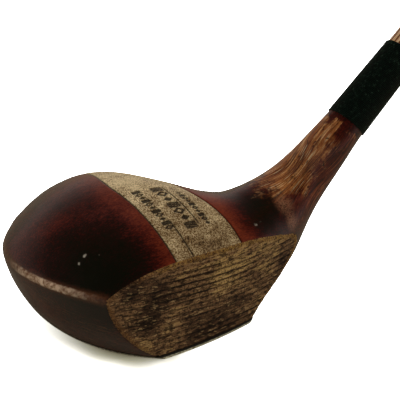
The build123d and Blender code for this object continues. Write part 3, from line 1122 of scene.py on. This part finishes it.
FLOOR_SIDE = 60.0          # metres
FLOOR_SEEN = 3.6           # how bright the floor looks to the camera
FLOOR_GLOW = 2.0           # added light that turns it plain white away from the toe
SHADED_ROUND = (-20, -14, 0, 50)    # where the floor shows shade: x, y, z and radius, mm
CONTACTS = ((-22, -26, 0, 11), (-32, -18, 0, 8), (-12, -30, 0, 8))   # deepest, same order
CONTACT_SHADE = 0.7
OPEN_REACH = 9 * MM        # things nearer than this shade the floor
SKY = ((0.0, 0.42), (0.12, 0.38), (0.45, 0.04), (1.0, 0.02))   # height, brightness
SKY_TINT = (1.0, 0.84, 0.76)
LIGHTS = (
    # name, azimuth and elevation, strength, softness; angles in degrees
    ("back", 160, 42, 0.9, 40),
    ("front", 35, 38, 0.8, 30),
    ("side", -115, 48, 0.8, 30),
)
VIEW_AZIMUTH, VIEW_ELEVATION, VIEW_ROLL = -46.07, 29.04, 13.23      # degrees
VIEW_DISTANCE, VIEW_RIGHT, VIEW_UP = 298.35 * MM, 20.29 * MM, 35.32 * MM
FILM_WIDTH = 36.0
LENS_PER_FILM = 2.00595    # lens length over film width


def floor_seen_colour(f):
    """Nearly white, with shade close under the head."""
    reach = {"Distance": OPEN_REACH}
    openness = f.node("ShaderNodeAmbientOcclusion", reach, samples=8).outputs["AO"]
    shade = (FLOOR_SEEN * 0.25, FLOOR_SEEN * 0.24, FLOOR_SEEN * 0.14, 1)
    lit = (FLOOR_SEEN, FLOOR_SEEN, FLOOR_SEEN * 0.93, 1)
    seen = f.mix(f.step(openness, 0.40, 0.80), shade, lit)
    contact = f.math("MINIMUM", f.plus(*(spot(f, *place) for place in CONTACTS)), 1.0)
    return f.mix(f.times(contact, CONTACT_SHADE), seen, shade)


def build_floor():
    """A pale floor, overexposed to white for the camera but not for what it lights."""
    half = FLOOR_SIDE / 2
    corners = [(-half, -half, 0), (half, -half, 0), (half, half, 0), (-half, half, 0)]
    floor = new_piece("floor", corners, [(0, 1, 2, 3)])
    f = Finish("floor_paper")
    ray = f.node("ShaderNodeLightPath").outputs
    bounced = f.mix(f.noise(30, detail=2), tint(164, 164, 150), tint(178, 178, 164))
    bounced = f.mix(ray["Is Glossy Ray"], bounced, (0.44, 0.38, 0.27, 1))
    colour = f.mix(ray["Is Camera Ray"], bounced, floor_seen_colour(f))
    paper = f.node("ShaderNodeBsdfDiffuse", {"Color": colour})
    away = f.rest_of(spot(f, *SHADED_ROUND))
    glow = f.times(away, ray["Is Camera Ray"], FLOOR_GLOW)
    light = f.node("ShaderNodeEmission", {"Strength": glow})
    both = f.node("ShaderNodeAddShader", {0: paper.outputs[0], 1: light.outputs[0]})
    f.feed(f.tree.nodes["Material Output"].inputs["Surface"], both.outputs[0])
    paint(floor, f.material)


def build_world():
    """Light from all round, bright near the horizon and dim overhead."""
    world = bpy.data.worlds.new("studio")
    bpy.context.scene.world = world
    world.use_nodes = True
    nodes, links = world.node_tree.nodes, world.node_tree.links
    place = nodes.new("ShaderNodeTexCoord")
    split = nodes.new("ShaderNodeSeparateXYZ")
    ramp = nodes.new("ShaderNodeValToRGB")
    links.new(place.outputs["Generated"], split.inputs[0])
    links.new(split.outputs["Z"], ramp.inputs[0])
    links.new(ramp.outputs[0], nodes["Background"].inputs["Color"])
    elements = ramp.color_ramp.elements
    while len(elements) < len(SKY):
        elements.new(0.5)
    for element, (position, level) in zip(elements, SKY):
        element.position = position
        element.color = (*(level * part for part in SKY_TINT), 1)


def direction(azimuth, elevation):
    """The way towards something seen from the head, in degrees from -Y and above the floor."""
    a, e = math.radians(azimuth), math.radians(elevation)
    return Vector((math.sin(a) * math.cos(e), -math.cos(a) * math.cos(e), math.sin(e)))


def soft_light(name, azimuth, elevation, strength, softness):
    """A wide distant light from the given side, all in degrees. It leaves no glint."""
    lamp = bpy.data.lights.new(name, "SUN")
    lamp.energy = strength
    lamp.angle = math.radians(softness)
    holder = bpy.data.objects.new(name, lamp)
    bpy.context.scene.collection.objects.link(holder)
    away = direction(azimuth, elevation)
    holder.rotation_euler = away.to_track_quat("Z", "Y").to_euler()
    holder.visible_glossy = False


def build_camera():
    """The camera stands before the toe and a little above, turned about its line of sight."""
    back = direction(VIEW_AZIMUTH, VIEW_ELEVATION)
    level = Vector((0, 0, 1)).cross(back).normalized()
    rise = back.cross(level)
    roll = math.radians(VIEW_ROLL)
    right = math.cos(roll) * level + math.sin(roll) * rise
    up = -math.sin(roll) * level + math.cos(roll) * rise
    data = bpy.data.cameras.new("camera")
    data.sensor_width = FILM_WIDTH
    data.lens = FILM_WIDTH * LENS_PER_FILM
    data.clip_start, data.clip_end = 0.01, 100
    camera = bpy.data.objects.new("camera", data)
    bpy.context.scene.collection.objects.link(camera)
    camera.matrix_world = Matrix((right, up, back)).transposed().to_4x4()
    camera.location = VIEW_DISTANCE * back + VIEW_RIGHT * right + VIEW_UP * up
    bpy.context.scene.camera = camera


build_floor()
build_world()
for light in LIGHTS:
    soft_light(*light)
build_camera()
bpy.context.scene.view_settings.view_transform = "Standard"
